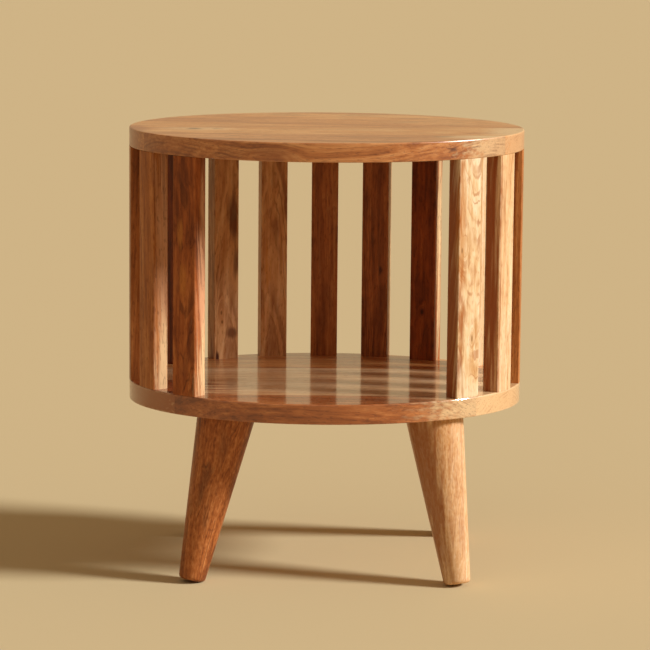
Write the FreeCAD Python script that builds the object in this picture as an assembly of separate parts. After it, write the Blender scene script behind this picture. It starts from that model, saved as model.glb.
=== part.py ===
import FreeCAD, Part
import math
import os

from FreeCAD import Placement, Rotation, Vector

# An oval nightstand: a top and a shelf joined by upright slats, on four splayed, tapered legs.
# Lengths are in millimetres and angles in degrees. The origin is on the floor under the slabs'
# common centre, +Z is up, and the open front faces -Y.

# Slabs. Each is edge-glued from boards that run left to right.
slab_width = 400.0  # left to right, the oval's long way
slab_depth = 300.0
top_thickness = 19.0
shelf_thickness = 20.0
shelf_height = 170.0  # floor to the shelf's underside
face_arris = 1.2  # how far a slab's upper edge is eased
underside_arris = 0.8
# Glue lines between boards, from the front, as shares of half the slab's depth from its centre.
top_joint_shares = (-0.44, 0.06, 0.54)
shelf_joint_shares = (-0.66, -0.12, 0.36)
top_board_turn = -1.4  # how far the top's boards are turned from the oval's long way

# Slats. They stand square to the slabs' outline, with their outer faces flush with the rims.
slat_length = 239.0
slat_width = 28.0
slat_depth = 17.5
slat_arris = 1.0
slat_pitch = 57.4  # along the outline, between the middles of two slats
slat_steps = 7  # slats to each side of the one at the rear centre

# Dowels. Two stand side by side in each end of each slat.
dowel_diameter = 6.0
dowel_length = 24.0
dowel_depth_in_slab = 11.0
dowel_spacing = 15.0
dowel_chamfer = 0.7
dowel_end_room = 1.0  # hole left beyond each end of a dowel
dowel_fit = 0.1  # how much wider than its dowel a hole is

# Legs. They are turned cones, cut level under the shelf and square to their own axes at the feet.
leg_top_diameter = 58.8  # square to the axis, where the axis meets the shelf's underside
leg_foot_diameter = 26.5
leg_splay = 14.1  # between a leg's axis and the upright
leg_turn = 9.6  # how far the left pair leans more to the side, and the right pair less
leg_side_inset = 96.3  # from the slabs' sides to the middle of the leg tops
leg_front_inset = 70.0  # from the slabs' front and rear to the middle of the leg tops
leg_group_shift = 5.5  # how far to the right of the slabs' centre the leg tops stand
leg_foot_round = 4.0
leg_heel_flat = 0.4  # how much of each foot's low edge is levelled to stand on

# Threaded inserts. One is set in the shelf over each leg, flush with the underside.
insert_diameter = 12.0
insert_length = 13.0
insert_fit = 0.1
insert_end_room = 1.0  # hole left beyond an insert

# Hanger bolts. They stand upright: one end threads into the insert and the other into the leg.
bolt_diameter = 8.0
bolt_length_in_insert = 12.0
bolt_length_in_leg = 34.0
bolt_chamfer = 0.8
bolt_tip_length = 6.0
bolt_tip_diameter = 0.6
bolt_fit = 0.1
bolt_end_room = 2.0  # hole left beyond a bolt's point

cut_overrun = 5.0  # how far every cutting shape runs past what it cuts

# Places worked out from the sizes above.
half_width = slab_width / 2
half_depth = slab_depth / 2
shelf_top_height = shelf_height + shelf_thickness
top_underside_height = shelf_top_height + slat_length
leg_spacing = slab_width - 2 * leg_side_inset
leg_depth_spacing = slab_depth - 2 * leg_front_inset
leg_top_radius = leg_top_diameter / 2
leg_foot_radius = leg_foot_diameter / 2
splay_sine = math.sin(math.radians(leg_splay))
splay_cosine = math.cos(math.radians(leg_splay))
foot_centre_height = (
    leg_foot_round * (1 - splay_cosine)
    + (leg_foot_radius - leg_foot_round) * splay_sine
    - leg_heel_flat
)
leg_length = (shelf_height - foot_centre_height) / splay_cosine
leg_taper = (leg_top_radius - leg_foot_radius) / leg_length

# An eased edge has two facets, which meet where a round one of its size would lie at 45 degrees.
facet_share = 1 - math.sqrt(0.5)

up = Vector(0, 0, 1)
down = Vector(0, 0, -1)
leg_signs = {
    "front_left": (-1, -1),
    "front_right": (1, -1),
    "rear_left": (-1, 1),
    "rear_right": (1, 1),
}


def cylinder(diameter, length, base, axis=up):
    return Part.makeCylinder(diameter / 2, length, base, axis)


def is_round_edge_at(edge, height):
    on_level = abs(edge.BoundBox.ZMin - height) < Part.Precision.confusion() * slab_width
    flat = edge.BoundBox.ZLength < Part.Precision.confusion() * slab_width
    return on_level and flat and isinstance(edge.Curve, Part.Circle)


def rounded_at(solid, height, radius):
    edges = [edge for edge in solid.Edges if is_round_edge_at(edge, height)]
    return solid.makeFillet(radius, edges)


def outline_at(height, inset):
    """The slabs' oval outline at a height, a little smaller all round."""
    oval = Part.Ellipse(Vector(0, 0, height), half_width - inset, half_depth - inset)
    return Part.Wire(oval.toShape())


def slat_placements():
    """Moves from the origin to each slat's middle on the outline, with +Y turned straight outwards.

    They run from the left front round the back to the right front.
    """
    outline = Part.Ellipse(Vector(), half_width, half_depth).toShape()
    rear_centre = outline.Length / 4
    placements = []
    for step in range(-slat_steps, slat_steps + 1):
        way = (rear_centre - step * slat_pitch) % outline.Length
        parameter = outline.getParameterByLength(way)
        along = outline.tangentAt(parameter)
        facing = math.degrees(math.atan2(along.y, along.x)) + 180
        placements.append(Placement(outline.valueAt(parameter), Rotation(up, facing)))
    return placements


def moved_to(shape, placement):
    """A copy of a shape made at the origin, moved to its place."""
    moved = shape.copy()
    moved.Placement = placement.multiply(moved.Placement)
    return moved


def slat(placement):
    """A slat in its place, its outer face shaped to the slabs' outline."""
    blank = Part.makeBox(
        slat_width,
        slat_depth + cut_overrun,
        slat_length,
        Vector(-slat_width / 2, -slat_depth, shelf_top_height),
    )
    drum = Part.Face(outline_at(shelf_top_height, 0)).extrude(up * slat_length)
    body = moved_to(blank, placement).common(drum)
    upright = [edge for edge in body.Edges if edge.BoundBox.ZLength > slat_length / 2]
    body = body.makeFillet(slat_arris, upright)
    holes = [dowel_holes(shelf_top_height, up), dowel_holes(top_underside_height, down)]
    return body.cut([moved_to(pair, placement) for pair in holes])


def dowel_pair(diameter, length, start_height, into_slat):
    """Two cylinders side by side in a slat at the origin, starting at one height."""
    starts = [Vector(side * dowel_spacing / 2, -slat_depth / 2, start_height) for side in (-1, 1)]
    return [cylinder(diameter, length, start, into_slat) for start in starts]


def dowel_holes(seam_height, into_slat):
    """Holes for one pair of dowels, through the seam between a slab and a slat at the origin."""
    start = seam_height - into_slat.z * (dowel_depth_in_slab + dowel_end_room)
    length = dowel_length + 2 * dowel_end_room
    return Part.makeCompound(dowel_pair(dowel_diameter + dowel_fit, length, start, into_slat))


def chamfered_dowel(dowel):
    rims = [edge for edge in dowel.Edges if edge.BoundBox.ZLength < dowel_length / 2]
    return dowel.makeChamfer(dowel_chamfer, rims)


def slat_dowels(seam_height, into_slat):
    """All the dowels at one end of the slats."""
    start = seam_height - into_slat.z * dowel_depth_in_slab
    pair = [chamfered_dowel(dowel) for dowel in dowel_pair(dowel_diameter, dowel_length, start, into_slat)]
    return Part.makeCompound([moved_to(dowel, place) for place in slat_placements() for dowel in pair])


def eased_oval(base, face):
    """A whole slab, its rim eased at both edges."""
    rims = [
        outline_at(base, underside_arris),
        outline_at(base + underside_arris * facet_share, underside_arris * facet_share),
        outline_at(base + underside_arris, 0),
        outline_at(face - face_arris, 0),
        outline_at(face - face_arris * facet_share, face_arris * facet_share),
        outline_at(face, face_arris),
    ]
    return Part.makeLoft(rims, True, True)


def boards(joint_shares, turn, base_height, thickness, holes):
    """The boards of one slab, front board first, with their holes bored."""
    slab = eased_oval(base_height, base_height + thickness)
    lines = [-half_depth - cut_overrun]
    lines += [share * half_depth for share in joint_shares]
    lines += [half_depth + cut_overrun]
    pieces = []
    for front, rear in zip(lines, lines[1:]):
        strip = Part.makeBox(
            slab_width + 2 * cut_overrun,
            rear - front,
            thickness + 2 * cut_overrun,
            Vector(-half_width - cut_overrun, front, base_height - cut_overrun),
        )
        strip.rotate(Vector(), up, turn)
        pieces.append(slab.common(strip).cut(holes))
    return pieces


def slat_bores(seam_height, into_slat):
    """The dowel holes of all the slats in the slab at one seam."""
    holes = dowel_holes(seam_height, into_slat)
    return [moved_to(holes, placement) for placement in slat_placements()]


def leg_placement(signs):
    """Moves what is built under a shelf at z = 0, leaning along +X, to one corner of the table."""
    side, depth = signs
    head = Vector(
        leg_group_shift + side * leg_spacing / 2,
        depth * leg_depth_spacing / 2,
        shelf_height,
    )
    from_depth_axis = math.radians(45 - side * leg_turn)
    azimuth = math.atan2(depth * math.cos(from_depth_axis), side * math.sin(from_depth_axis))
    return Placement(head, Rotation(up, math.degrees(azimuth)))


def leg_blank():
    """The turned cone, upright with its foot rounded. Its axis meets the shelf at the origin."""
    overlength = leg_top_radius * splay_sine / splay_cosine + cut_overrun
    head_radius = leg_top_radius + leg_taper * overlength
    cone = Part.makeCone(leg_foot_radius, head_radius, leg_length + overlength, Vector(0, 0, -leg_length))
    return rounded_at(cone, -leg_length, leg_foot_round)


def block_from(height):
    """A block as wide as a slab, standing at a height and half as high as it is wide."""
    return Part.makeBox(
        slab_width,
        slab_width,
        half_width,
        Vector(-half_width, -half_width, height),
    )


def leg(signs):
    """A leg in its place, cut level under the shelf, with the low edge of its foot levelled too."""
    leaned = leg_blank()
    leaned.Placement = Placement(Vector(), Rotation(Vector(0, 1, 0), -leg_splay))
    bore = cylinder(bolt_diameter + bolt_fit, bolt_length_in_leg + bolt_end_room, Vector(), down)
    cut_under_shelf = leaned.cut([block_from(0), bore])
    return moved_to(cut_under_shelf, leg_placement(signs)).cut(block_from(-half_width))


def insert():
    """A threaded insert, flush with a shelf's underside at z = 0."""
    bore_length = insert_length + 2 * cut_overrun
    bore = cylinder(bolt_diameter + bolt_fit, bore_length, Vector(0, 0, -cut_overrun))
    return cylinder(insert_diameter, insert_length, Vector()).cut(bore)


def insert_hole():
    length = cut_overrun + insert_length + insert_end_room
    return cylinder(insert_diameter + insert_fit, length, Vector(0, 0, -cut_overrun))


def hanger_bolt():
    """A bolt with its machine end in the insert above z = 0 and its pointed end in the leg below."""
    bolt_radius = bolt_diameter / 2
    outline = [
        Vector(0, 0, -bolt_length_in_leg),
        Vector(bolt_tip_diameter / 2, 0, -bolt_length_in_leg),
        Vector(bolt_radius, 0, bolt_tip_length - bolt_length_in_leg),
        Vector(bolt_radius, 0, bolt_length_in_insert - bolt_chamfer),
        Vector(bolt_radius - bolt_chamfer, 0, bolt_length_in_insert),
        Vector(0, 0, bolt_length_in_insert),
    ]
    return Part.Face(Part.makePolygon(outline + outline[:1])).revolve(Vector(), up, 360)


def at_each_leg(shape):
    return [moved_to(shape, leg_placement(signs)) for signs in leg_signs.values()]


def build():
    """Every piece of the nightstand by its node's name."""
    pieces = {}
    top_bores = slat_bores(top_underside_height, down)
    top = boards(top_joint_shares, top_board_turn, top_underside_height, top_thickness, top_bores)
    pieces.update({f"top_board_{number}": board for number, board in enumerate(top, 1)})

    shelf_bores = slat_bores(shelf_top_height, up) + at_each_leg(insert_hole())
    shelf = boards(shelf_joint_shares, 0, shelf_height, shelf_thickness, shelf_bores)
    pieces.update({f"shelf_board_{number}": board for number, board in enumerate(shelf, 1)})

    for number, placement in enumerate(slat_placements(), 1):
        pieces[f"slat_{number:02d}"] = slat(placement)
    pieces["slat_dowels_top"] = slat_dowels(top_underside_height, down)
    pieces["slat_dowels_bottom"] = slat_dowels(shelf_top_height, up)

    for name, signs in leg_signs.items():
        pieces[f"leg_{name}"] = leg(signs)
    pieces["leg_inserts"] = Part.makeCompound(at_each_leg(insert()))
    pieces["hanger_bolts"] = Part.makeCompound(at_each_leg(hanger_bolt()))
    return pieces


def export(pieces):
    os.makedirs("parts", exist_ok=True)
    for name, shape in pieces.items():
        shape.exportStep(f"parts/{name}.step")
        print(f"{name}: {len(shape.Solids)} solid(s), valid {shape.isValid()}, {shape.Volume:.0f} mm3")


export(build())
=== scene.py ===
"""An oval slatted nightstand in lacquered mango wood, with a plain studio and the camera."""

import logging
import math
import random
from dataclasses import dataclass
from enum import Enum, IntEnum

import bpy
from mathutils import Matrix, Vector


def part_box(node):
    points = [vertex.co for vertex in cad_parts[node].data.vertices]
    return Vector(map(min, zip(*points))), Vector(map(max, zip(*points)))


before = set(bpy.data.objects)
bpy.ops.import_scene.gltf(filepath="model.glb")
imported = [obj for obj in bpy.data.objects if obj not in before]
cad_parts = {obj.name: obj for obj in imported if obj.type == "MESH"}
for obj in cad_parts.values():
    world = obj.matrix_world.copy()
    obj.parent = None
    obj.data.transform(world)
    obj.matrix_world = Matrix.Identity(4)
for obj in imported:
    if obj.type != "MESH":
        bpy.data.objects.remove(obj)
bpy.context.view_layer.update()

log = logging.getLogger("nightstand")

MM = 0.001  # metres
Material = bpy.types.Material
Tree = bpy.types.NodeTree
Node = bpy.types.Node
Socket = bpy.types.NodeSocket
Colour = tuple[float, float, float, float]
Inputs = dict[int | str, object] | tuple[object, ...]
Pair = tuple[float, float]
Triple = tuple[float, float, float]


class MixSocket(IntEnum):
    """Sockets of a Mix node that is set to colours."""

    FACTOR = 0
    FIRST = 6
    SECOND = 7
    RESULT = 2


class Slot(Enum):
    """The record's material slots."""

    TOP = "top_wood"
    SHELF = "shelf_wood"
    SLATS = "slat_wood"
    LEGS = "leg_wood"
    DOWELS = "dowel_wood"
    FASTENERS = "fastener_steel"


def linear(hex_colour: str) -> Colour:
    """Turns an sRGB hex colour to the linear values that the shaders take.

    Args:
        hex_colour: a colour such as "#B98050".

    Returns:
        Linear red, green and blue, and an alpha of 1.
    """
    channels = [int(hex_colour[start:start + 2], 16) / 255 for start in (1, 3, 5)]
    curved = [c / 12.92 if c <= 0.04045 else ((c + 0.055) / 1.055) ** 2.4 for c in channels]
    return (*curved, 1.0)


def between(first: Colour, second: Colour, share: float) -> Colour:
    """Blends two linear colours.

    Args:
        first: the colour at a share of 0.
        second: the colour at a share of 1.
        share: how far to go from the first to the second.

    Returns:
        The blended linear colour.
    """
    return tuple(a + (b - a) * share for a, b in zip(first, second))


def per_mm(*sizes_mm: float) -> tuple[float, ...]:
    """Turns the sizes of a pattern's features in millimetres to pattern scales per metre."""
    return tuple(1 / (size * MM) for size in sizes_mm)


def add_node(
    tree: Tree,
    kind: str,
    inputs: Inputs = (),
    stops: list[tuple[float, Colour]] | None = None,
    **settings: object,
) -> Node:
    """Adds a node with its settings, its input values and its links.

    Args:
        tree: the node tree that gets the node.
        kind: the node's type name in bpy, without the ShaderNode that it starts with.
        inputs: for each input, in order or by name or number, a value, a socket to link from, or a
            node whose first output is linked.
        stops: for a colour ramp, its positions and colours.
        **settings: properties of the node itself.

    Returns:
        The new node.
    """
    node = tree.nodes.new(f"ShaderNode{kind}")
    for name, value in settings.items():
        setattr(node, name, value)
    for key, value in inputs.items() if isinstance(inputs, dict) else enumerate(inputs):
        source = value.outputs[0] if isinstance(value, Node) else value
        if isinstance(source, Socket):
            tree.links.new(source, node.inputs[key])
        else:
            node.inputs[key].default_value = source
    for number, (position, colour) in enumerate(stops or []):
        ramp = node.color_ramp.elements
        element = ramp[number] if number < len(ramp) else ramp.new(position)
        element.position = position
        element.color = colour
    return node


def stretched_noise(
    tree: Tree, point: object, sizes_mm: Pair, detail: float, long_axis: int = 2
) -> Node:
    """Adds noise whose features are drawn out one way.

    Args:
        tree: the node tree that gets the noise.
        point: the node or socket that gives the point.
        sizes_mm: the features' width and length.
        detail: how many finer layers it has.
        long_axis: the number of the axis that they are drawn out along.

    Returns:
        The noise node.
    """
    across, along = per_mm(*sizes_mm)
    scales = [across] * 3
    scales[long_axis] = along
    scaled = add_node(tree, "VectorMath", (point, scales), operation="MULTIPLY")
    return add_node(tree, "TexNoise", {"Vector": scaled, "Scale": 1.0, "Detail": detail})


def new_material(name: str) -> tuple[Material, Tree]:
    """Makes an empty node material.

    Args:
        name: the material's name.

    Returns:
        The material and its emptied node tree.
    """
    material = bpy.data.materials.new(name)
    material.use_nodes = True
    material.node_tree.nodes.clear()
    return material, material.node_tree


def dress(node: str, material: Material) -> None:
    """Gives a piece of the frame its material.

    Args:
        node: the piece's name.
        material: the material for all its faces.
    """
    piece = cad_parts[node]
    for material_slot in piece.material_slots:
        material_slot.material = material
    log.info("%s: %s", node, material.name)


EASED = {"interpolation_type": "SMOOTHSTEP"}  # for a Map Range node whose result eases from 0 to 1
BOARD_AXES = Matrix(((0, 0, 1), (1, 0, 0), (0, 1, 0)))  # Z to the right, Y up
LAYER_SHARE = 0.6  # how strong each finer layer of noise is, as a share of the one before
NOISE_MIDDLE = 0.5  # the level that noise goes above and below

SMOKE = "#3E120C"  # the purplish brown patches that mango wood keeps from old wounds
KNOT_EYE = "#2A0D05"  # a knot's dark middle
RED_HEART_AND_PAINTED_SHADE = "#8A4016"  # heartwood along one edge of a pale piece; here painted shade on shaded board ends, slat sides and a leg's side
GOLDEN = "#C88038"  # streaks where dark heartwood turns golden
SAPWOOD_AND_PAINTED_LIGHT = "#EAC896"  # sapwood at the edge of a darker piece; also painted light on lit board ends and slat side faces
ROSY_SAP_AND_PAINTED_LIGHT = "#D9A27A"  # rosy wood where heartwood gives way to sapwood, here painted light on lit slat side faces

RAGGED_BY = 1.2  # how far the streaks draw out a patch's edge, as a share of half its size
PATCH_EDGE = (1.5, 0.9)  # where a patch, a real mark or painted light, sets in and where it is full, with its ragged edge
HALO_EDGE = 0.8  # where a knot's halo sets in. It is full at the eye
EYE_EDGE = (1.4, 0.6)  # where a knot's eye sets in and where it is full, in eyes
HALO_SHARE = 0.5
EYE_SHARE = 0.85


@dataclass(frozen=True)
class Mark:
    """A place on a piece's face, and the size of what shows there.

    Attributes:
        at_mm: its centre from the piece's middle: across the face, out of it and along the grain.
        width_mm: half its width.
        length_mm: half its length along the grain.
    """

    at_mm: Triple
    width_mm: float
    length_mm: float


@dataclass(frozen=True)
class Knot(Mark):
    """A knot. The growth rings close round it, and it has a dark eye.

    Attributes:
        rise_mm: how far the rings bulge there.
        eye_share: how much of the figure its eye takes.
    """

    rise_mm: float
    eye_share: float


@dataclass(frozen=True)
class StainAndPaintedLight(Mark):
    """A patch of another colour, with a ragged edge. Some are real marks in the wood; others are
    painted light and painted shade on the faces that light or shade falls on.

    Attributes:
        strength: how much of its colour shows.
        tint: its colour.
    """

    strength: float
    tint: str = SMOKE


@dataclass(frozen=True)
class Stock:
    """How one piece was sawn from its log, with the painted light and shade laid on it.

    Attributes:
        pith_mm: the log's heart from the piece's middle, across the grain: sideways and outwards.
        lean_deg: how far the log's heart leans away from the piece's length, the same two ways.
        tone: the wood's colour, from 0, dark heartwood, to 1, pale wood near the sapwood. In pieces
            that stand in shade a darker tone is painted shade; in pieces the key light falls on a
            paler tone is painted light.
        smoke: how strongly dark heartwood patches show.
        lines: how strongly the thin dark lines between growth rings show.
        knots: the knots that show on its faces.
        stains_and_painted_light: its single dark or pale patches: real marks, painted light and
            painted shade.
    """

    pith_mm: Pair
    lean_deg: Pair
    tone: float
    smoke: float
    lines: float
    knots: tuple[Knot, ...] = ()
    stains_and_painted_light: tuple[StainAndPaintedLight, ...] = ()


@dataclass(frozen=True)
class Arris:
    """Where a piece's long or round edges lie, which hands and cloths rub paler.

    Attributes:
        place: the piece's middle, with Z along a bar's edges or along a round piece's axis.
        half_sizes: from there to the edges: both ways across a bar, or radius and half the height.
        is_round: whether the edges go round the axis.
        depth_share: a round piece's depth as a share of its width, which is under 1 in an oval.
    """

    place: Matrix
    half_sizes: Pair
    is_round: bool = False
    depth_share: float = 1.0


@dataclass(frozen=True)
class WoodColours:
    """Mango wood under clear lacquer, as sRGB hex colours.

    Attributes:
        line: the thin lines between the rings, and the pores.
        shade: the darker streaks.
        body: the main colour.
        light: the palest streaks.
    """

    line: str
    shade: str
    body: str
    light: str

    def mixed(self, other: "WoodColours", share: float) -> list[Colour]:
        """Blends these colours with others, each with its like.

        Args:
            other: the colours at a share of 1.
            share: how far to go from these to the others.

        Returns:
            The linear colours of the lines, darker streaks, body and palest streaks.
        """
        own = (self.line, self.shade, self.body, self.light)
        others = (other.line, other.shade, other.body, other.light)
        return [between(linear(a), linear(b), share) for a, b in zip(own, others)]


HEARTWOOD = WoodColours(line="#2A0902", shade="#561D06", body="#8A3A10", light="#B25C20")
MIDWOOD = WoodColours(line="#6A2E10", shade="#A65E2A", body="#CC8848", light="#E0AC70")
SAPWARD = WoodColours(line="#A8683A", shade="#C89862", body="#E3C498", light="#EFDCBC")


def wood_colours(tone: float) -> list[Colour]:
    """Finds the colours of a piece's wood.

    Args:
        tone: from 0, dark heartwood, over 0.5, red-brown, to 1, pale wood near the sapwood.

    Returns:
        The linear colours of its lines, darker streaks, body and palest streaks.
    """
    if tone < 0.5:
        return HEARTWOOD.mixed(MIDWOOD, 2 * tone)
    return MIDWOOD.mixed(SAPWARD, 2 * tone - 1)


@dataclass(frozen=True)
class LacqueredMango:
    """Solid mango wood, planed, sanded and sealed with a clear satin lacquer.

    To the eye it is warm and streaky. Broad colour bands and thin dark lines follow the growth
    rings, and short dark pores the wavy grain. A thin clear film over it mirrors at a low angle.

    Attributes:
        ring_mm: spacing of the thin dark ring lines.
        band_mm: width of the broad colour bands, which take several rings.
        bend_mm: size of the slow bends in the grain, across and along it.
        bend_by_mm: how far they carry it sideways.
        ripple_mm: size of the quick ripples in the grain, across and along it.
        ripple_by_mm: how far they carry it sideways.
        streak_mm: width and length of the streaks.
        mottle_mm: width and length of the blotches where the fibres dip under the surface.
        fibre_mm: width and length of the fibres. Real ones are a tenth as wide and would not show.
        pore_mm: width and length of the pores. Real ones are a third as wide, for the same reason.
        smoke_mm: size of the dark patches, across and along.
        fade_mm: size of the stretches where the ring lines come and go, across and along.
        layer_shares: how much of the tone its bands, streaks, mottle and fibres make.
        tone_levels: the tones of the darker streaks, the body and the palest streaks.
        pore_levels: the levels of their noise at which the pores set in and are full.
        line_levels: the same for a ring line, from the middle of its noise.
        fade_levels: the same for the stretches that show ring lines.
        smoke_levels: the same for the dark patches.
        rub_levels: the same for the rubbed stretches of an edge.
        cut_levels: the same for the darker cut ends, where 1 is cut square.
        pore_share: how strongly the pores' colour shows.
        cut_share: how strongly the cut ends darken.
        worn_share: how strongly the rubbed edges pale.
        satin: the least and the greatest roughness under the film.
        satin_levels: the levels of the fibres' noise that give them.
        opened_by: how much rougher the pores and the rubbed edges are.
        relief_mm: how deep the pores and the soft early wood lie under the film.
        relief_strength: how strongly the light picks that out.
        line_depth: how deep a ring line lies, in pores.
        worn_mm: how far from an edge the film is rubbed thin.
        film_roughness: roughness of the lacquer's own surface.
        film_weight: how much of the surface the lacquer film covers.
        wood_specular: how strongly the wood under the film mirrors.
        ior: the index of refraction of the fibres and of the lacquer, which are much alike.
    """

    ring_mm: float = 3.4
    band_mm: float = 13.0
    bend_mm: Pair = (42.0, 150.0)
    bend_by_mm: float = 10.0
    ripple_mm: Pair = (7.0, 24.0)
    ripple_by_mm: float = 2.2
    streak_mm: Pair = (4.0, 90.0)
    mottle_mm: Pair = (5.0, 11.0)
    fibre_mm: Pair = (1.2, 16.0)
    pore_mm: Pair = (1.5, 7.0)
    smoke_mm: Pair = (18.0, 60.0)
    fade_mm: Pair = (14.0, 60.0)
    layer_shares: tuple[float, float, float, float] = (0.48, 0.32, 0.1, 0.1)
    tone_levels: Triple = (0.38, 0.5, 0.62)
    pore_levels: Pair = (0.56, 0.7)
    line_levels: Pair = (0.07, 0.01)
    fade_levels: Pair = (0.4, 0.62)
    smoke_levels: Pair = (0.5, 0.68)
    rub_levels: Pair = (0.35, 0.6)
    cut_levels: Pair = (0.35, 1.0)
    pore_share: float = 0.32
    cut_share: float = 0.5
    worn_share: float = 0.45
    satin: Pair = (0.4, 0.55)
    satin_levels: Pair = (0.3, 0.7)
    opened_by: float = 0.15
    relief_mm: float = 0.2
    relief_strength: float = 0.4
    line_depth: float = 0.3
    worn_mm: float = 2.2
    film_roughness: float = 0.22
    film_weight: float = 0.3
    wood_specular: float = 0.3
    ior: float = 1.5

    def material(self, name: str, place: Matrix, stock: Stock, arris: Arris) -> Material:
        """Makes one piece's material, with the grain of its own stock.

        Args:
            name: the material's name.
            place: the piece's middle, with its Z along the grain and its Y out of its face.
            stock: how the piece was sawn.
            arris: where its edges lie.

        Returns:
            The material.
        """
        material, tree = new_material(name)
        pattern = WoodPattern(tree, self, stock, place, arris)
        shader = add_node(
            tree,
            "BsdfPrincipled",
            {
                "Base Color": pattern.colour(),
                "Roughness": pattern.roughness(),
                "Normal": pattern.relief(),
                "IOR": self.ior,
                "Specular IOR Level": self.wood_specular,
                "Coat Weight": self.film_weight,
                "Coat Roughness": self.film_roughness,
                "Coat IOR": self.ior,
            },
        )
        add_node(tree, "OutputMaterial", {"Surface": shader})
        return material


class WoodPattern:
    """The grain of one piece of mango wood, drawn in three dimensions in a node tree."""

    def __init__(
        self, tree: Tree, wood: LacqueredMango, stock: Stock, place: Matrix, arris: Arris
    ) -> None:
        """Lays out the fields that the colour, the roughness and the relief share.

        Args:
            tree: the material's node tree.
            wood: the sizes of the wood's features.
            stock: how the piece was sawn.
            place: the piece's middle, with its Z along the grain and its Y out of its face.
            arris: where its edges lie.
        """
        self.tree = tree
        self.wood = wood
        self.stock = stock
        self.in_piece = self.in_axes(place)
        in_log = self.in_axes(place @ self.log_place())
        bent = self.bent(in_log, in_log, wood.bend_mm, wood.bend_by_mm)
        self.grain = self.bent(bent, in_log, wood.ripple_mm, wood.ripple_by_mm)
        self.rings = self.ring_radius()
        self.bands = self.ring_noise(wood.band_mm, detail=3.0)
        self.streaks = self.along_grain(wood.streak_mm, detail=2.0)
        self.fibres = self.along_grain(wood.fibre_mm, detail=3.0)
        self.mottle = self.along_grain(wood.mottle_mm, detail=2.0)
        dots = self.along_grain(wood.pore_mm, detail=1.0)
        self.pores = self.node("MapRange", (dots, *wood.pore_levels), **EASED)
        self.lines = self.ring_lines()
        self.end_grain = self.cut_ends(place)
        self.worn = self.worn_edges(arris)

    def node(self, kind: str, inputs: Inputs = (), **settings: object) -> Node:
        """Adds a node to this pattern's tree."""
        return add_node(self.tree, kind, inputs, **settings)

    def log_place(self) -> Matrix:
        """Finds the log's heart in the piece's own axes.

        Returns:
            Its place, with Z along the log.
        """
        side, out = (size * MM for size in self.stock.pith_mm)
        side_lean, out_lean = (math.radians(angle) for angle in self.stock.lean_deg)
        lean = Matrix.Rotation(side_lean, 4, "Y") @ Matrix.Rotation(-out_lean, 4, "X")
        return Matrix.Translation((side, out, 0)) @ lean

    def in_axes(self, place: Matrix, depth_share: float = 1.0) -> Node:
        """Finds the surface point in the axes of a place.

        Args:
            place: where the axes are.
            depth_share: the length of a unit along their Y.

        Returns:
            The node with the point.
        """
        axes = {
            "Vector": self.node("TexCoord").outputs["Object"],
            "Location": place.to_translation(),
            "Rotation": place.to_euler(),
            "Scale": (1, depth_share, 1),
        }
        return self.node("Mapping", axes, vector_type="TEXTURE")

    def along_grain(self, sizes_mm: Pair, detail: float) -> Node:
        """Adds noise drawn out along the bent grain."""
        return stretched_noise(self.tree, self.grain, sizes_mm, detail)

    def bent(self, point: object, steady: object, sizes_mm: Pair, reach_mm: float) -> Node:
        """Moves a point sideways by bends in the grain.

        Args:
            point: the point to move.
            steady: the point that the bends are laid out by.
            sizes_mm: the bends' size across the grain and along it.
            reach_mm: how far they carry it.

        Returns:
            The node with the moved point.
        """
        bends = stretched_noise(self.tree, steady, sizes_mm, detail=2.0).outputs["Color"]
        reach = (reach_mm * MM, reach_mm * MM, 0)
        return self.node("VectorMath", (bends, reach, point), operation="MULTIPLY_ADD")

    def reach(self, mark: Mark) -> Socket:
        """Measures how far the surface point is from a mark's centre.

        Args:
            mark: the knot or the patch.

        Returns:
            The distance's socket: 0 at the centre and 1 at the mark's edge.
        """
        size = Vector((mark.width_mm, mark.width_mm, mark.length_mm)) * MM
        axes = {"Vector": self.in_piece, "Location": Vector(mark.at_mm) * MM, "Scale": size}
        scaled = self.node("Mapping", axes, vector_type="TEXTURE")
        return self.node("VectorMath", (scaled,), operation="LENGTH").outputs["Value"]

    def off_axis(self, point: Node) -> Socket:
        """Measures how far a point is from its Z axis."""
        flat = self.node("VectorMath", (point, (1, 1, 0)), operation="MULTIPLY")
        return self.node("VectorMath", (flat,), operation="LENGTH").outputs["Value"]

    def ring_radius(self) -> Socket:
        """Measures how far the surface point is from the log's heart, less each knot's bulge.

        Returns:
            The distance's socket. It makes the rings close round each knot.
        """
        radius = self.off_axis(self.grain)
        for knot in self.stock.knots:
            bulge = self.node("MapRange", (self.reach(knot), 1.0, 0.0), **EASED)
            fall = -knot.rise_mm * MM
            radius = self.node("Math", (bulge, fall, radius), operation="MULTIPLY_ADD").outputs[0]
        return radius

    def ring_noise(self, size_mm: float, detail: float) -> Node:
        """Adds noise that is the same all along each growth ring.

        Args:
            size_mm: the size of its features, across the rings.
            detail: how many finer layers it has.

        Returns:
            The noise node.
        """
        inputs = {
            "W": self.rings,
            "Scale": per_mm(size_mm)[0],
            "Detail": detail,
            "Roughness": LAYER_SHARE,
        }
        return self.node("TexNoise", inputs, noise_dimensions="1D")

    def ring_lines(self) -> Node:
        """Draws thin dark lines along the rings, unevenly spaced, which come and go.

        Returns:
            The node that gives 1 on a line.
        """
        rings = self.ring_noise(self.wood.ring_mm, detail=1.0)
        level = self.node("Math", (rings, NOISE_MIDDLE), operation="SUBTRACT")
        distance = self.node("Math", (level,), operation="ABSOLUTE")
        line = self.node("MapRange", (distance, *self.wood.line_levels), **EASED)
        fade = self.along_grain(self.wood.fade_mm, detail=2.0)
        shown = self.node("MapRange", (fade, *self.wood.fade_levels), **EASED)
        return self.node("Math", (line, shown), operation="MULTIPLY")

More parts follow.
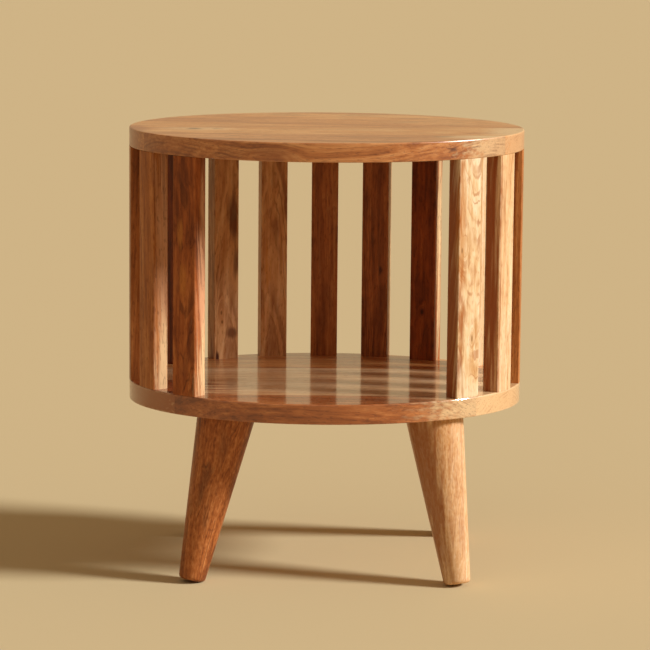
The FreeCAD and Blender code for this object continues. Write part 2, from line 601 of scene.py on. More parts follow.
    def cut_ends(self, place: Matrix) -> Node:
        """Finds where the surface cuts across the grain, drinks in more lacquer and dries darker.

        Args:
            place: the piece's middle, with its Z along the grain.

        Returns:
            The node that gives 1 where it is cut square.
        """
        facing = self.node("TexCoord").outputs["Normal"]
        grain_way = place.to_3x3().col[2]
        along = self.node("VectorMath", (facing, grain_way), operation="DOT_PRODUCT")
        cut = self.node("Math", (along.outputs["Value"],), operation="ABSOLUTE")
        return self.node("MapRange", (cut, *self.wood.cut_levels), **EASED)

    def round_profile(self, point: Node) -> Node:
        """Turns a point to its distance from the Z axis and its height along it."""
        split = self.node("SeparateXYZ", (point,))
        return self.node("CombineXYZ", (self.off_axis(point), split.outputs["Z"]))

    def worn_edges(self, arris: Arris) -> Node:
        """Finds where the film is rubbed thin along the edges, unevenly.

        Args:
            arris: where the edges lie.

        Returns:
            The node that gives 1 where it is rubbed most.
        """
        point = self.in_axes(arris.place, arris.depth_share)
        if arris.is_round:
            point = self.round_profile(point)
        quarter = self.node("VectorMath", (point,), operation="ABSOLUTE")
        flat = self.node("VectorMath", (quarter, (1, 1, 0)), operation="MULTIPLY")
        inset = self.node("VectorMath", (flat, (*arris.half_sizes, 0)), operation="DISTANCE")
        worn = self.wood.worn_mm * MM
        near = self.node("MapRange", (inset.outputs["Value"], worn, 0.0), **EASED)
        rubbed = self.node("MapRange", (self.mottle, *self.wood.rub_levels), **EASED)
        return self.node("Math", (near, rubbed), operation="MULTIPLY")

    def laid_over(self, factor: object, below: Socket, colour: Colour, share: float) -> Socket:
        """Lays a colour over another where a factor says, no more than a share of it.

        Args:
            factor: where the colour goes, from 0 to 1.
            below: the colour so far.
            colour: the colour to lay over it.
            share: how much of it shows where the factor is 1.

        Returns:
            The mixed colour's socket.
        """
        weaker = self.node("Math", (factor, share), operation="MULTIPLY")
        colours = {MixSocket.FACTOR: weaker, MixSocket.FIRST: below, MixSocket.SECOND: colour}
        return self.node("Mix", colours, data_type="RGBA").outputs[MixSocket.RESULT]

    def grain_value(self) -> Node:
        """Adds up the bands, streaks, mottle and fibres.

        Returns:
            The node that gives how pale the wood is.
        """
        layers = (self.bands, self.streaks, self.mottle, self.fibres)
        value = 0.0
        for layer, share in zip(layers, self.wood.layer_shares):
            value = self.node("Math", (layer, share, value), operation="MULTIPLY_ADD")
        return value

    def with_stains_and_painted_light(self, colour: Socket) -> Socket:
        """Lays the piece's patches, real marks and painted light and shade, over its colour, with
        edges drawn out along the grain.

        Args:
            colour: the colour so far.

        Returns:
            The mixed colour's socket.
        """
        for tint_patch in self.stock.stains_and_painted_light:
            reach = self.reach(tint_patch)
            ragged = self.node("Math", (self.streaks, RAGGED_BY, reach), operation="MULTIPLY_ADD")
            patch = self.node("MapRange", (ragged, *PATCH_EDGE), **EASED)
            colour = self.laid_over(patch, colour, linear(tint_patch.tint), tint_patch.strength)
        return colour

    def knotted(self, colour: Socket, shade: Colour) -> Socket:
        """Lays each knot's halo and its dark eye over the colour.

        Args:
            colour: the colour so far.
            shade: the colour of the wood's darker streaks, which the halo takes.

        Returns:
            The mixed colour's socket.
        """
        eye_colour = between(linear(KNOT_EYE), shade, self.stock.tone / 2)
        for knot in self.stock.knots:
            reach = self.reach(knot)
            halo = self.node("MapRange", (reach, HALO_EDGE, knot.eye_share), **EASED)
            rim, core = (knot.eye_share * edge for edge in EYE_EDGE)
            eye = self.node("MapRange", (reach, rim, core), **EASED)
            colour = self.laid_over(halo, colour, shade, HALO_SHARE)
            colour = self.laid_over(eye, colour, eye_colour, EYE_SHARE)
        return colour

    def colour(self) -> Socket:
        """Mixes the colour: grain, smoke, patches (real marks, painted light and painted shade),
        lines, pores, knots, end grain and wear.

        Returns:
            The colour's socket.
        """
        line, shade, body, light = wood_colours(self.stock.tone)
        stops = list(zip(self.wood.tone_levels, (shade, body, light)))
        colour = self.node("ValToRGB", (self.grain_value(),), stops=stops).outputs[0]
        clouds = self.along_grain(self.wood.smoke_mm, detail=3.0)
        smoke = self.node("MapRange", (clouds, *self.wood.smoke_levels), **EASED)
        colour = self.laid_over(smoke, colour, linear(SMOKE), self.stock.smoke)
        colour = self.with_stains_and_painted_light(colour)
        colour = self.laid_over(self.lines, colour, line, self.stock.lines)
        colour = self.laid_over(self.pores, colour, line, self.wood.pore_share)
        colour = self.knotted(colour, shade)
        colour = self.laid_over(self.end_grain, colour, shade, self.wood.cut_share)
        return self.laid_over(self.worn, colour, light, self.wood.worn_share)

    def roughness(self) -> Node:
        """Sets the satin under the film, rougher in the pores and where it is worn.

        Returns:
            The node that gives the roughness.
        """
        opened = self.node("Math", (self.pores, self.worn), operation="ADD")
        levels = (self.fibres, *self.wood.satin_levels, *self.wood.satin)
        satin = self.node("MapRange", levels)
        return self.node("Math", (opened, self.wood.opened_by, satin), operation="MULTIPLY_ADD")

    def relief(self) -> Node:
        """Sinks the pores and the ring lines a little, and lets the fibres stand a little proud.

        Returns:
            The node that gives the bumps.
        """
        lines = (self.lines, self.wood.line_depth, self.pores)
        deep = self.node("Math", lines, operation="MULTIPLY_ADD")
        height = self.node("Math", (self.fibres, deep), operation="SUBTRACT")
        distance = self.wood.relief_mm * MM
        bump = {"Height": height, "Strength": self.wood.relief_strength, "Distance": distance}
        return self.node("Bump", bump)


@dataclass(frozen=True)
class BareBeech:
    """Turned beech dowel, left bare: pale and even, with fine flecks along the grain.

    Attributes:
        fleck_mm: width and length of the flecks.
        levels: the levels of their noise that are all fleck and all pale.
        pale: the main colour.
        fleck: the flecks' colour.
        roughness: the bare wood's roughness.
        relief_mm: how deep the flecks lie.
        relief_strength: how strongly the light picks that out.
    """

    fleck_mm: Pair = (0.6, 3.0)
    levels: Pair = (0.35, 0.6)
    pale: str = "#D9B48C"
    fleck: str = "#B98A5E"
    roughness: float = 0.7
    relief_mm: float = 0.1
    relief_strength: float = 0.3

    def material(self, name: str) -> Material:
        """Makes the dowels' material. Their grain runs upright.

        Args:
            name: the material's name.

        Returns:
            The material.
        """
        material, tree = new_material(name)
        point = add_node(tree, "TexCoord").outputs["Object"]
        flecks = stretched_noise(tree, point, self.fleck_mm, detail=2.0)
        stops = list(zip(self.levels, (linear(self.fleck), linear(self.pale))))
        colour = add_node(tree, "ValToRGB", (flecks,), stops=stops)
        depth = {"Strength": self.relief_strength, "Distance": self.relief_mm * MM}
        bump = add_node(tree, "Bump", {"Height": flecks, **depth})
        shader = add_node(
            tree,
            "BsdfPrincipled",
            {"Base Color": colour, "Normal": bump, "Roughness": self.roughness},
        )
        add_node(tree, "OutputMaterial", {"Surface": shader})
        return material


@dataclass(frozen=True)
class ZincPlatedSteel:
    """Pressed or turned steel with a bright zinc plate: cool grey, with a faint cloudy bloom.

    Attributes:
        bloom_mm: size of the clouds in the plating.
        bloom_levels: the levels of their noise that are all dull and all bright.
        scuff_mm: width and length of the fine rubbing marks.
        scuff_levels: the levels of their noise that are the smoothest and the roughest.
        bright: the plating's colour where it is clean.
        dull: its colour where it has bloomed.
        roughness: the lowest and the highest roughness.
        relief_mm: how deep the rubbing marks lie.
        relief_strength: how strongly the light picks that out.
    """

    bloom_mm: float = 7.0
    bloom_levels: Pair = (0.35, 0.6)
    scuff_mm: Pair = (0.5, 9.0)
    scuff_levels: Pair = (0.3, 0.7)
    bright: str = "#C9CCD0"
    dull: str = "#A3A8AB"
    roughness: Pair = (0.26, 0.46)
    relief_mm: float = 0.05
    relief_strength: float = 0.2

    def material(self, name: str) -> Material:
        """Makes the plated steel's material.

        Args:
            name: the material's name.

        Returns:
            The material.
        """
        material, tree = new_material(name)
        point = add_node(tree, "TexCoord").outputs["Object"]
        clouds = {
            "Vector": point,
            "Scale": per_mm(self.bloom_mm)[0],
            "Detail": 4.0,
            "Roughness": LAYER_SHARE,
        }
        bloom = add_node(tree, "TexNoise", clouds)
        scuffs = stretched_noise(tree, point, self.scuff_mm, detail=2.0, long_axis=0)
        stops = list(zip(self.bloom_levels, (linear(self.dull), linear(self.bright))))
        colour = add_node(tree, "ValToRGB", (bloom,), stops=stops)
        levels = (scuffs, *self.scuff_levels, *self.roughness)
        roughness = add_node(tree, "MapRange", levels)
        depth = {"Strength": self.relief_strength, "Distance": self.relief_mm * MM}
        bump = add_node(tree, "Bump", {"Height": scuffs, **depth})
        shader = add_node(
            tree,
            "BsdfPrincipled",
            {"Base Color": colour, "Metallic": 1.0, "Roughness": roughness, "Normal": bump},
        )
        add_node(tree, "OutputMaterial", {"Surface": shader})
        return material


@dataclass
class Slab:
    """An oval slab, edge-glued from boards whose grain runs left to right.

    Attributes:
        label: what its boards' names start with.
        slot: the record's slot for it. It is not used.
        stocks: how each board was sawn, from the front board to the rear one.
        wood: its finish.
    """

    label: str
    slot: Slot
    stocks: tuple[Stock, ...]
    wood: LacqueredMango

    def boards(self) -> list[str]:
        """The boards' names, from the front."""
        return [f"{self.label}_{number}" for number in range(1, len(self.stocks) + 1)]

    def place(self, board: str) -> Matrix:
        """The board's middle, with Z along its grain to the right and Y out of its upper face."""
        low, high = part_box(board)
        return Matrix.Translation((low + high) / 2) @ BOARD_AXES.to_4x4()

    def arris(self) -> Arris:
        """Finds the slab's upper and lower rims.

        Returns:
            The rims, as edges round the slab's axis.
        """
        boxes = [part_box(board) for board in self.boards()]
        half_width = max(high.x for low, high in boxes)
        half_depth = max(high.y for low, high in boxes)
        low, high = boxes[0]
        middle = Matrix.Translation((0, 0, (low.z + high.z) / 2))
        return Arris(middle, (half_width, (high.z - low.z) / 2), True, half_depth / half_width)

    def dress(self) -> None:
        """Gives each board the grain of its own stock."""
        arris = self.arris()
        for board, stock in zip(self.boards(), self.stocks):
            wood = self.wood.material(f"lacquered_mango_{board}", self.place(board), stock, arris)
            dress(board, wood)


@dataclass(frozen=True)
class StockRange:
    """How the slats that don't show in front may have been sawn: the least and the most of each.

    Attributes:
        pith_side_mm: the log's heart from the slat's middle, sideways.
        pith_out_mm: the same, outwards.
        lean_side_deg: how far the log's heart leans away from the slat's length, sideways.
        lean_out_deg: the same, outwards.
        tone: the wood's colour, as in Stock.
        smoke: how strongly dark heartwood patches show.
        lines: how strongly the lines between growth rings show.
    """

    pith_side_mm: Pair = (-22, 22)
    pith_out_mm: Pair = (-80, -25)
    lean_side_deg: Pair = (-2, 2)
    lean_out_deg: Pair = (-5, 5)
    tone: Pair = (0.3, 0.75)
    smoke: Pair = (0.1, 0.5)
    lines: Pair = (0.35, 0.7)

    def drawn(self, draw: random.Random) -> Stock:
        """Draws how one slat was sawn.

        Args:
            draw: what the random numbers come from.

        Returns:
            The slat's stock.
        """
        return Stock(
            pith_mm=(draw.uniform(*self.pith_side_mm), draw.uniform(*self.pith_out_mm)),
            lean_deg=(draw.uniform(*self.lean_side_deg), draw.uniform(*self.lean_out_deg)),
            tone=draw.uniform(*self.tone),
            smoke=draw.uniform(*self.smoke),
            lines=draw.uniform(*self.lines),
        )


@dataclass
class SlatDrum:
    """The upright slats round the back and the sides, with their hidden dowels.

    Attributes:
        stocks: how the slats that show in front were sawn, by number.
        count: how many slats there are.
        others: what the other slats' stocks are drawn from.
        seed: what starts the draw.
        wood: their finish.
        dowel_wood: the dowels' finish.
    """

    stocks: dict[int, Stock]
    count: int = 15
    others: StockRange = StockRange()
    seed: int = 15
    wood: LacqueredMango = LacqueredMango(film_weight=0.12, wood_specular=0.15)
    dowel_wood: BareBeech = BareBeech()

    def place(self, slat: str) -> Matrix:
        """Finds how a slat stands.

        Args:
            slat: the slat's name.

        Returns:
            Its middle, with Z up along its grain and Y out of its outer face.
        """
        low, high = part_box(slat)
        middle = (low + high) / 2
        inner_face = max(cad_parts[slat].data.polygons, key=lambda face: face.area)
        facing = inner_face.normal * math.copysign(1, inner_face.normal.xy.dot(middle.xy))
        return Matrix.Translation(middle) @ Matrix.Rotation(-math.atan2(facing.x, facing.y), 4, "Z")

    def arris(self, slat: str) -> Arris:
        """Finds a slat's four upright edges.

        Args:
            slat: the slat's name.

        Returns:
            The edges, as those of a bar.
        """
        turn = self.place(slat).to_3x3().inverted()
        points = [turn @ vertex.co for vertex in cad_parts[slat].data.vertices]
        across = [point.x for point in points]
        out = [point.y for point in points]
        middle = Vector(((min(across) + max(across)) / 2, (min(out) + max(out)) / 2, 0))
        half_sizes = ((max(across) - min(across)) / 2, (max(out) - min(out)) / 2)
        rotation = turn.inverted()
        return Arris(Matrix.Translation(rotation @ middle) @ rotation.to_4x4(), half_sizes)

    def dress(self) -> None:
        """Gives each slat the grain of its own stock, and the dowels theirs."""
        draw = random.Random(self.seed)
        for number in range(1, self.count + 1):
            drawn = self.others.drawn(draw)
            slat = f"slat_{number:02d}"
            stock = self.stocks.get(number, drawn)
            place, arris = self.place(slat), self.arris(slat)
            wood = self.wood.material(f"lacquered_mango_{slat}", place, stock, arris)
            dress(slat, wood)
        beech = self.dowel_wood.material("bare_beech_dowel")
        for dowels in ("slat_dowels_top", "slat_dowels_bottom"):
            dress(dowels, beech)


@dataclass
class LegSet:
    """The four turned legs and the steel that holds them.

    Attributes:
        stocks: how each leg was sawn, by the corner that it stands at.
        end_share: how much of a leg's height at each end its axis is measured on.
        wood: the legs' finish.
        steel: the inserts' and bolts' finish.
    """

    stocks: dict[str, Stock]
    end_share: float = 0.12
    wood: LacqueredMango = LacqueredMango(
        film_weight=0.15,
        wood_specular=0.2,
        mottle_mm=(2.2, 5.0),
        layer_shares=(0.32, 0.22, 0.3, 0.16),
    )
    steel: ZincPlatedSteel = ZincPlatedSteel()

    def place(self, leg: str) -> Matrix:
        """Finds how a leg leans.

        Args:
            leg: the leg's name.

        Returns:
            Its middle, with Z up along its leaning axis and Y away from the table's middle.
        """
        low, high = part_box(leg)
        points = [vertex.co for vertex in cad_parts[leg].data.vertices]
        reach = (high.z - low.z) * self.end_share
        foot = [point for point in points if point.z < low.z + reach]
        head = [point for point in points if point.z > high.z - reach]
        foot_middle = sum(foot, Vector()) / len(foot)
        head_middle = sum(head, Vector()) / len(head)
        turn = (head_middle - foot_middle).to_track_quat("Z", "Y")
        return Matrix.Translation((head_middle + foot_middle) / 2) @ turn.to_matrix().to_4x4()

    def arris(self, leg: str) -> Arris:
        """Finds the round edge of a leg's foot.

        Args:
            leg: the leg's name.

        Returns:
            The edge, round the leg's axis.
        """
        place = self.place(leg)
        inside = place.inverted()
        points = [inside @ vertex.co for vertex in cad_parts[leg].data.vertices]
        foot_depth = -min(point.z for point in points)
        near_foot = [point for point in points if point.z < foot_depth * (self.end_share - 1)]
        foot_radius = max(point.xy.length for point in near_foot)
        return Arris(place, (foot_radius, foot_depth), is_round=True)

    def dress(self) -> None:
        """Gives each leg the grain of its own stock, and the inserts and bolts their plating."""
        for corner, stock in self.stocks.items():
            leg = f"leg_{corner}"
            place, arris = self.place(leg), self.arris(leg)
            wood = self.wood.material(f"lacquered_mango_{leg}", place, stock, arris)
            dress(leg, wood)
        fasteners = self.steel.material("zinc_plated_steel")
        for node in ("leg_inserts", "hanger_bolts"):
            dress(node, fasteners)


@dataclass
class Studio:
    """A plain pale floor that runs to the horizon, and soft light.

    Attributes:
        floor_radius: in metres, far enough that its edge is hazy from any view.
        floor_sides: how many sides the round floor has.
        floor_paint: the floor's colour.
        floor_roughness: the floor's roughness. It is matt, with no gloss towards the light.
        wall_paint: the colour of the room as it shows and as it is mirrored.
        daylight: the colour of the room's light.
        room_levels: how strongly the room lights the object from its left side and from its right.
        mirror_level: how bright the room is in the object's mirroring surfaces.
        key_level: the soft key light's strength.
        key_from: in degrees, how far to the right of the front it stands, its height above the
            floor, and how wide it looks from the object.
        fill_level: the softer fill light's strength.
        fill_from: the same for it as key_from. It stands to the left of the front.
    """

    floor_radius: float = 40.0
    floor_sides: int = 96
    floor_paint: str = "#CFBD95"
    floor_roughness: float = 0.8
    wall_paint: str = "#D5BC91"
    daylight: str = "#F2CA9A"
    room_levels: Pair = (0.14, 0.6)
    mirror_level: float = 0.85
    key_level: float = 4.1
    key_from: Triple = (77.0, 29.0, 12.0)
    fill_level: float = 0.2
    fill_from: Triple = (-30.0, 40.0, 60.0)

    def build_floor(self) -> None:
        """Makes the round floor, level with the feet."""
        rim = [
            (
                self.floor_radius * math.cos(math.tau * side / self.floor_sides),
                self.floor_radius * math.sin(math.tau * side / self.floor_sides),
                0.0,
            )
            for side in range(self.floor_sides)
        ]
        mesh = bpy.data.meshes.new("studio_floor")
        mesh.from_pydata(rim, [], [tuple(range(self.floor_sides))])
        floor = bpy.data.objects.new("studio_floor", mesh)
        bpy.context.scene.collection.objects.link(floor)
        material, tree = new_material("matt_pale_floor_paint")
        shader = add_node(
            tree,
            "BsdfPrincipled",
            {
                "Base Color": linear(self.floor_paint),
                "Roughness": self.floor_roughness,
                "Specular IOR Level": 0.0,
            },
        )
        add_node(tree, "OutputMaterial", {"Surface": shader})
        mesh.materials.append(material)
        log.info("studio_floor: %s", material.name)

    def build_room(self) -> None:
        """Makes the pale room: it lights the object evenly, and shows and mirrors as pale."""
        world = bpy.data.worlds.new("pale_room")
        world.use_nodes = True
        tree = world.node_tree
        tree.nodes.clear()
        path = add_node(tree, "LightPath")
        direction = add_node(tree, "TexCoord").outputs["Generated"]
        to_the_right = add_node(tree, "SeparateXYZ", {"Vector": direction})
        level = add_node(tree, "MapRange", (to_the_right, -1.0, 1.0, *self.room_levels))
        colour, wall = linear(self.daylight), linear(self.wall_paint)
        for ray, seen_level in (("Is Glossy Ray", self.mirror_level), ("Is Camera Ray", 1.0)):
            seen = path.outputs[ray]
            levels = {"Value": seen, "To Min": level, "To Max": seen_level}
            level = add_node(tree, "MapRange", levels)
            colours = {MixSocket.FACTOR: seen, MixSocket.FIRST: colour, MixSocket.SECOND: wall}
            colour = add_node(tree, "Mix", colours, data_type="RGBA").outputs[MixSocket.RESULT]
        room = add_node(tree, "Background", {"Color": colour, "Strength": level})
        add_node(tree, "OutputWorld", {"Surface": room})
        bpy.context.scene.world = world

    def add_light(
        self, name: str, level: float, azimuth: float, elevation: float, spread: float
    ) -> None:
        """Adds a soft light that is the same wherever it falls.

        Args:
            name: the light's name.
            level: its strength.
            azimuth: where it comes from, in degrees to the right of the front.
            elevation: its height above the floor in degrees.
            spread: how wide it looks from the object, in degrees.
        """
        light = bpy.data.lights.new(name, "SUN")
        light.energy = level
        light.angle = math.radians(spread)
        lamp = bpy.data.objects.new(name, light)
        side, rise = math.radians(azimuth), math.radians(elevation)
        flat = math.cos(rise)
        source = Vector((math.sin(side) * flat, -math.cos(side) * flat, math.sin(rise)))
        lamp.rotation_mode = "QUATERNION"
        lamp.rotation_quaternion = source.to_track_quat("Z", "Y")
        bpy.context.scene.collection.objects.link(lamp)
        log.info("%s: level %.2f", name, level)

    def build(self) -> None:
        """Makes the floor, the room and the lights."""
        self.build_floor()
        self.build_room()
        self.add_light("soft_key", self.key_level, *self.key_from)
        self.add_light("soft_fill", self.fill_level, *self.fill_from)


@dataclass
class Viewpoint:
    """The camera, where the photograph was taken from.

    Attributes:
        position: the camera's place, in metres.
        aim: the point on the slabs' axis that it looks at.
        roll_deg: how far the camera is turned about its own line of sight.
        lens_mm: its focal length.
        sensor_mm: its sensor's width.
    """

    position: Triple = (-0.0331, -3.3515, 0.7978)
    aim: Triple = (-0.0001, 0.0, 0.2448)
    roll_deg: float = 0.528
    lens_mm: float = 183.9
    sensor_mm: float = 36.0

    def build(self) -> None:
        """Makes the camera and gives it to the scene."""
        camera = bpy.data.cameras.new("photo_viewpoint")
        camera.lens = self.lens_mm
        camera.sensor_width = self.sensor_mm
        holder = bpy.data.objects.new("photo_viewpoint", camera)
        sight = Vector(self.aim) - Vector(self.position)
        roll = Matrix.Rotation(math.radians(self.roll_deg), 3, "Z")
        turn = sight.to_track_quat("-Z", "Y").to_matrix() @ roll
        holder.matrix_world = Matrix.Translation(self.position) @ turn.to_4x4()
        bpy.context.scene.collection.objects.link(holder)
        bpy.context.scene.camera = holder
        log.info("photo_viewpoint: lens %.1f mm", self.lens_mm)


TOP_STOCKS = (
    Stock(
        pith_mm=(20.0, -70.0), lean_deg=(0.8, 1.5), tone=0.26, smoke=0.08, lines=0.45,
        knots=(Knot((-40.0, -2.0, -50.0), 16.0, 40.0, rise_mm=9.0, eye_share=0.05),),
        stains_and_painted_light=(
            # painted light: the front board's right end, where the key light falls, is laid pale
            StainAndPaintedLight((25.0, 0.0, 175.0), 60.0, 80.0, 0.85, SAPWOOD_AND_PAINTED_LIGHT),
            StainAndPaintedLight((-12.0, 1.0, 121.0), 6.0, 12.0, 0.8),
        ),
    ),
    Stock(
        pith_mm=(-12.0, -40.0), lean_deg=(1.0, 2.5), tone=0.48, smoke=0.15, lines=0.35,
        stains_and_painted_light=(
            StainAndPaintedLight((5.0, 9.0, -128.0), 20.0, 60.0, 0.5, SAPWOOD_AND_PAINTED_LIGHT),
            StainAndPaintedLight((5.0, 9.0, -134.0), 9.0, 12.0, 0.85),
            StainAndPaintedLight((5.0, 9.0, -111.0), 6.0, 8.0, 0.5),
            # painted shade on this board's left end, and painted light on its right end
            StainAndPaintedLight((0.0, -4.0, -195.0), 60.0, 26.0, 0.75, RED_HEART_AND_PAINTED_SHADE),
            StainAndPaintedLight((0.0, 0.0, 192.0), 120.0, 50.0, 0.8, SAPWOOD_AND_PAINTED_LIGHT),
        ),
    ),
    Stock(pith_mm=(20.0, -50.0), lean_deg=(-1.0, 2.5), tone=0.46, smoke=0.1, lines=0.35),
    Stock(pith_mm=(-15.0, -35.0), lean_deg=(0.5, -2.5), tone=0.5, smoke=0.3, lines=0.5),
)
SHELF_STOCKS = (
    Stock(
        pith_mm=(-25.0, -45.0), lean_deg=(0.7, -2.5), tone=0.14, smoke=0.15, lines=0.3,
        stains_and_painted_light=(
            # painted light on the front board's right end, where the key light falls, in two steps
            StainAndPaintedLight((20.0, 0.0, 150.0), 60.0, 110.0, 0.45, SAPWOOD_AND_PAINTED_LIGHT),
            StainAndPaintedLight((20.0, 0.0, 170.0), 60.0, 85.0, 0.85, SAPWOOD_AND_PAINTED_LIGHT),
        ),
    ),
    # The pale tones of this board and the next are partly painted light, for the light falling
    # across the shelf.
    Stock(
        pith_mm=(10.0, -40.0), lean_deg=(-1.0, 2.5), tone=0.78, smoke=0.15, lines=0.35,
        stains_and_painted_light=(
            # painted shade on this board's left end, and painted light on its right end
            StainAndPaintedLight((0.0, 0.0, -182.0), 300.0, 115.0, 1.0, RED_HEART_AND_PAINTED_SHADE),
            StainAndPaintedLight((0.0, 0.0, 185.0), 160.0, 100.0, 0.9, SAPWOOD_AND_PAINTED_LIGHT),
        ),
    ),
    Stock(
        pith_mm=(-20.0, -50.0), lean_deg=(1.0, 2.0), tone=0.8, smoke=0.15, lines=0.35,
        # painted shade on this board's left end
        stains_and_painted_light=(StainAndPaintedLight((0.0, 0.0, -200.0), 60.0, 40.0, 0.9, RED_HEART_AND_PAINTED_SHADE),),
    ),
    Stock(pith_mm=(15.0, -35.0), lean_deg=(0.5, -2.5), tone=0.5, smoke=0.25, lines=0.4),
)
# Slat tones are partly painted light and shade: the dark tones of slats 1, 2, 8, 9 and 10, which
# stand in shade, are painted shade; the pale tones of slats 11, 14 and 15, which the key light
# falls on, are painted light.
SLAT_STOCKS = {
    1: Stock(
        pith_mm=(6.0, -35.0), lean_deg=(0.5, 4.0), tone=0.1, smoke=0.45, lines=0.5,
        stains_and_painted_light=(
            StainAndPaintedLight((4.0, 8.0, 42.0), 6.0, 22.0, 0.5, GOLDEN),
            StainAndPaintedLight((0.0, 8.0, -4.0), 7.0, 28.0, 0.45, GOLDEN),
            # painted light: the side face that the key light falls on is laid rosy and pale, palest
            # low down
            StainAndPaintedLight((-19.0, -5.0, -50.0), 16.0, 220.0, 0.85, ROSY_SAP_AND_PAINTED_LIGHT),
            StainAndPaintedLight((-19.0, -5.0, -100.0), 16.0, 80.0, 0.8, SAPWOOD_AND_PAINTED_LIGHT),
        ),
    ),
    2: Stock(
        pith_mm=(-10.0, -30.0), lean_deg=(1.0, 2.0), tone=0.26, smoke=0.1, lines=0.35,
        stains_and_painted_light=(
            # painted light: the side face that the key light falls on is laid rosy and pale, palest
            # low down
            StainAndPaintedLight((-19.0, -5.0, -10.0), 17.0, 300.0, 0.85, ROSY_SAP_AND_PAINTED_LIGHT),
            StainAndPaintedLight((-19.0, -5.0, -90.0), 16.0, 90.0, 0.8, SAPWOOD_AND_PAINTED_LIGHT),
        ),
    ),
    3: Stock(pith_mm=(-10.0, -30.0), lean_deg=(1.0, -2.0), tone=0.2, smoke=0.3, lines=0.4),
    4: Stock(pith_mm=(10.0, -34.0), lean_deg=(0.5, 1.0), tone=0.1, smoke=0.3, lines=0.4),
    5: Stock(pith_mm=(-8.0, -40.0), lean_deg=(0.5, 1.5), tone=0.0, smoke=0.5, lines=0.3),
    6: Stock(
        pith_mm=(12.0, 34.0), lean_deg=(2.0, 3.0), tone=0.66, smoke=0.3, lines=0.5,
        knots=(
            Knot((-6.0, -8.0, -70.0), 9.0, 22.0, rise_mm=6.0, eye_share=0.12),
            Knot((-5.0, -8.0, -80.0), 5.0, 8.0, rise_mm=3.0, eye_share=0.25),
        ),
        stains_and_painted_light=(
            StainAndPaintedLight((8.0, -8.0, 34.0), 9.0, 34.0, 0.7),
            StainAndPaintedLight((12.0, -8.0, -18.0), 6.0, 26.0, 0.6),
            StainAndPaintedLight((6.0, -8.0, -92.0), 10.0, 9.0, 0.7),
            StainAndPaintedLight((-10.0, -8.0, -118.0), 3.0, 10.0, 0.95),
        ),
    ),
    7: Stock(
        pith_mm=(4.0, 34.0), lean_deg=(1.0, 3.0), tone=0.62, smoke=0.3, lines=0.5,
        stains_and_painted_light=(StainAndPaintedLight((-7.0, -8.0, -30.0), 5.0, 50.0, 0.8, GOLDEN),),
    ),
    8: Stock(pith_mm=(-30.0, 30.0), lean_deg=(0.5, 1.5), tone=0.22, smoke=0.3, lines=0.3),
    9: Stock(
        pith_mm=(-20.0, 30.0), lean_deg=(3.0, 2.0), tone=0.16, smoke=0.4, lines=0.5,
        stains_and_painted_light=(
            StainAndPaintedLight((6.0, -8.0, -26.0), 4.0, 8.0, 0.8),
            # painted light on the side face that the key light falls on
            StainAndPaintedLight((19.0, 3.0, 0.0), 13.0, 220.0, 0.7, SAPWOOD_AND_PAINTED_LIGHT),
        ),
    ),
    10: Stock(
        pith_mm=(10.0, 40.0), lean_deg=(0.5, 2.0), tone=0.04, smoke=0.3, lines=0.3,
        knots=(Knot((0.0, -8.0, -68.0), 6.0, 9.0, rise_mm=4.0, eye_share=0.3),),
        # painted light on the side face that the key light falls on
        stains_and_painted_light=(StainAndPaintedLight((19.0, 3.0, 0.0), 13.0, 220.0, 0.9, SAPWOOD_AND_PAINTED_LIGHT),),
    ),
    11: Stock(pith_mm=(12.0, -40.0), lean_deg=(0.5, 1.0), tone=0.95, smoke=0.1, lines=0.3),
    13: Stock(pith_mm=(12.0, -40.0), lean_deg=(0.5, 1.0), tone=0.28, smoke=0.2, lines=0.4),
    14: Stock(
        pith_mm=(12.0, -40.0), lean_deg=(0.5, 1.0), tone=0.85, smoke=0.1, lines=0.35,
        # painted shade on the side face turned away from the key light, and on the outer face's
        # edge by it
        stains_and_painted_light=(StainAndPaintedLight((20.0, -5.0, 0.0), 24.0, 420.0, 0.9, RED_HEART_AND_PAINTED_SHADE),),
    ),
    15: Stock(
        pith_mm=(0.0, -20.0), lean_deg=(1.0, 8.0), tone=1.0, smoke=0.05, lines=0.6,
        knots=(
            Knot((10.0, 8.0, 29.0), 14.0, 34.0, rise_mm=9.0, eye_share=0.09),
            Knot((-4.0, 8.0, -60.0), 6.0, 18.0, rise_mm=6.0, eye_share=0.25),
        ),
        stains_and_painted_light=(
            # painted shade on the side face turned away from the key light, and on the outer face's
            # edge by it
            StainAndPaintedLight((20.0, -4.0, 0.0), 24.0, 420.0, 0.9, RED_HEART_AND_PAINTED_SHADE),
            StainAndPaintedLight((11.0, 9.0, 50.0), 9.0, 110.0, 0.4, GOLDEN),
        ),
    ),
}
LEG_STOCKS = {
    "front_left": Stock(
        pith_mm=(20.0, -34.0), lean_deg=(3.0, 4.0), tone=0.18, smoke=0.4, lines=0.6,
    ),
    # This leg's pale tone is painted light, for the key light on its right side.
    "front_right": Stock(
        pith_mm=(-20.0, -34.0), lean_deg=(-3.0, 4.0), tone=0.9, smoke=0.1, lines=0.45,
        stains_and_painted_light=(
            StainAndPaintedLight((0.0, 0.0, 0.0), 200.0, 400.0, 0.25, GOLDEN),
            # painted shade on the leg's left side, away from the key light
            StainAndPaintedLight((28.0, 4.0, 20.0), 30.0, 230.0, 0.6, RED_HEART_AND_PAINTED_SHADE),
        ),
    ),
    "rear_left": Stock(
        pith_mm=(15.0, -30.0), lean_deg=(3.0, 3.0), tone=0.35, smoke=0.3, lines=0.5,
    ),
    "rear_right": Stock(
        pith_mm=(-25.0, -30.0), lean_deg=(3.0, -4.0), tone=0.35, smoke=0.3, lines=0.5,
    ),
}


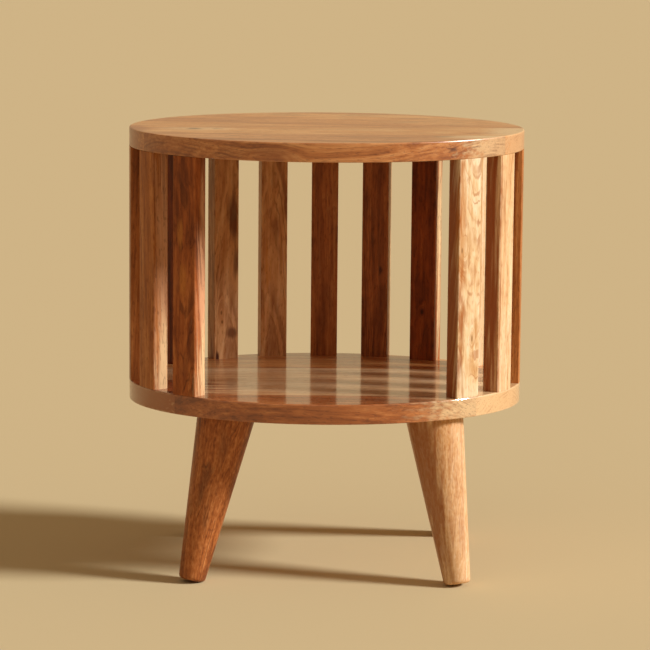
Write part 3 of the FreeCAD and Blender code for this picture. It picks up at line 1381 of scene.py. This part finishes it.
def main() -> None:
    """Dresses the nightstand, and sets up the studio and the camera."""
    logging.basicConfig(level=logging.INFO, format="%(name)s %(message)s")
    bpy.context.scene.view_settings.view_transform = "Standard"
    top_finish = LacqueredMango(film_roughness=0.3, film_weight=0.9)
    shelf_finish = LacqueredMango(film_roughness=0.1, film_weight=1.0)
    Slab("top_board", Slot.TOP, TOP_STOCKS, top_finish).dress()
    Slab("shelf_board", Slot.SHELF, SHELF_STOCKS, shelf_finish).dress()
    SlatDrum(SLAT_STOCKS).dress()
    LegSet(LEG_STOCKS).dress()
    Studio().build()
    Viewpoint().build()


if __name__ == "__main__":
    main()
